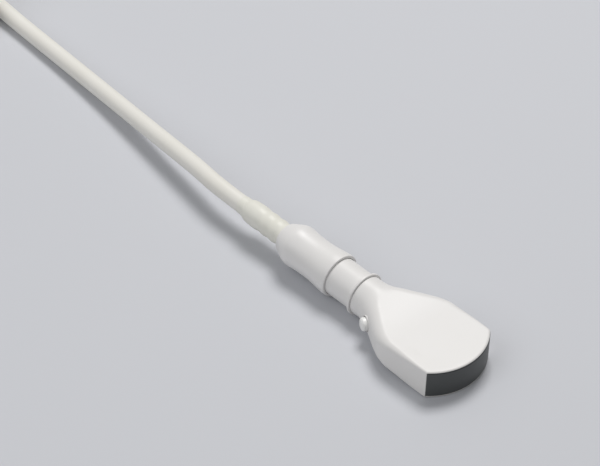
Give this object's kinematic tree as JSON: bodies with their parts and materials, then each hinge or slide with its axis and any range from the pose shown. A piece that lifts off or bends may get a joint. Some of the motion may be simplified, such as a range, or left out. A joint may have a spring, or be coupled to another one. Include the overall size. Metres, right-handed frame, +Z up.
{
  "type": "ultrasound transducer probe",
  "caption": "Hand-held ultrasound probe with a curved lens face, flared white head, push-button, round grip collar, strain relief, hanked lead and locking plug.",
  "frame": {"origin": "on the surface it rests on, under the middle of the probe's own box, lead and plug left out", "axes": "+X along the probe towards the lens, +Z up from the surface, push-button on the -Y side"},
  "size_m": [0.8304, 0.0906, 0.0488],
  "materials": {
    "housing_white": "satin moulded plastic",
    "lens_grey": "smooth silicone",
    "seal_dark": "matt elastomer",
    "relief_ivory": "soft satin elastomer",
    "cable_ivory": "satin extruded jacket",
    "button_white": "satin moulded plastic",
    "matching_resin": "filled resin",
    "piezo_ceramic": "fired ceramic",
    "backing_compound": "filled elastomer",
    "carrier_plastic": "moulded",
    "board_green": "solder mask",
    "steel_parts": "turned",
    "dark_plastic": "moulded",
    "flex_amber": "polyimide film",
    "coil_ferrite": "sintered",
    "chip_black": "moulded",
    "shield_tin": "tinned sheet",
    "coax_blue": "laminated ribbon",
    "brass_parts": "turned",
    "tie_fabric": "hook-and-loop tape",
    "plug_grey": "fine texture",
    "insert_grey": "moulded",
    "contact_gold": "plated",
    "knob_grey": "moulded"
  },
  "bodies": {
    "probe": {"upper_housing": "housing_white", "lower_housing": "housing_white", "acoustic_lens": "lens_grey", "outer_matching_layer": "matching_resin", "inner_matching_layer": "matching_resin", "piezo_array": "piezo_ceramic", "backing_block": "backing_compound", "array_carrier": "carrier_plastic", "interconnect_board": "board_green", "board_screws": "steel_parts", "upper_flex_plug": "dark_plastic", "lower_flex_plug": "dark_plastic", "upper_flex_circuit": "flex_amber", "lower_flex_circuit": "flex_amber", "tuning_coils": "coil_ferrite", "switch_chips": "chip_black", "upper_shield_can": "shield_tin", "lower_shield_can": "shield_tin", "upper_coax_ribbon": "coax_blue", "lower_coax_ribbon": "coax_blue", "neck_seal": "seal_dark", "neck_sleeve": "housing_white", "lead_end": "cable_ivory", "shield_ferrule": "brass_parts", "cable_collet": "brass_parts", "gland_nut": "brass_parts", "rear_collar": "housing_white", "collar_seal": "seal_dark", "strain_relief": "relief_ivory", "button_bush": "button_white", "tact_switch": "dark_plastic", "switch_board": "board_green", "cable": "cable_ivory", "cable_hank": "cable_ivory", "hank_ties": "tie_fabric", "cable_tail": "cable_ivory", "plug_strain_relief": "relief_ivory", "plug_upper_shell": "plug_grey", "plug_lower_shell": "plug_grey", "plug_screws": "steel_parts", "plug_insert": "insert_grey", "plug_board": "board_green", "plug_contacts": "contact_gold"},
    "button": {"button_cap": "button_white", "switch_plunger": "dark_plastic"},
    "lock": {"lock_knob": "knob_grey", "lock_shaft": "steel_parts"}
  },
  "joints": [
    {"name": "button_press", "type": "slide", "parent": "probe", "child": "button", "axis": [0.4379, 0.8988, -0.0197], "range_m": [0, 0.0008], "stiffness_N_per_m": 1500},
    {"name": "plug_lock", "type": "hinge", "parent": "probe", "child": "lock", "pos_m": [-0.695, 0.0127, 0.017], "axis": [1, 0, 0], "range_deg": [0, 90]}
  ]
}
